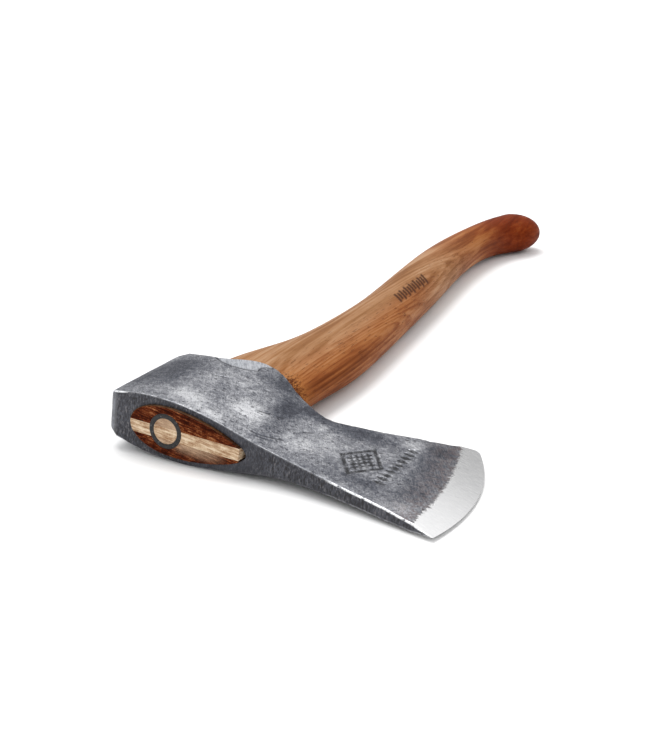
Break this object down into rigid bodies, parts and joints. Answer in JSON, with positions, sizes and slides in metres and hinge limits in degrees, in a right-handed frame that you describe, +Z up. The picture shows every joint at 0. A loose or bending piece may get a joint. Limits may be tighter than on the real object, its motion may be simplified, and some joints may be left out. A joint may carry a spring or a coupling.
{
  "type": "hatchet",
  "caption": "One-handed hatchet with a forged bearded head, skirted eye, curved hardwood handle with a knob, and a wood wedge crossed by a steel ring.",
  "frame": {"origin": "bottom centre of the bounding box, on the surface that the hatchet lies on", "axes": "+X from the poll towards the cutting edge (the blade dips 5.7 degrees to rest on the surface), +Y from the top of the head down the handle to the knob, +Z up, out of the cheek that faces upwards"},
  "size_m": [0.1394, 0.388, 0.0247],
  "materials": {
    "forged_steel": "dark forged scale, brushed on the cheeks, polished on the bevel",
    "oiled_hardwood": "oiled, satin",
    "wedge_wood": "sawn and oiled",
    "ring_steel": "blackened"
  },
  "bodies": {
    "root": {"axe_head": "forged_steel", "handle": "oiled_hardwood", "wooden_wedge": "wedge_wood", "ring_wedge": "ring_steel"}
  },
  "joints": []
}
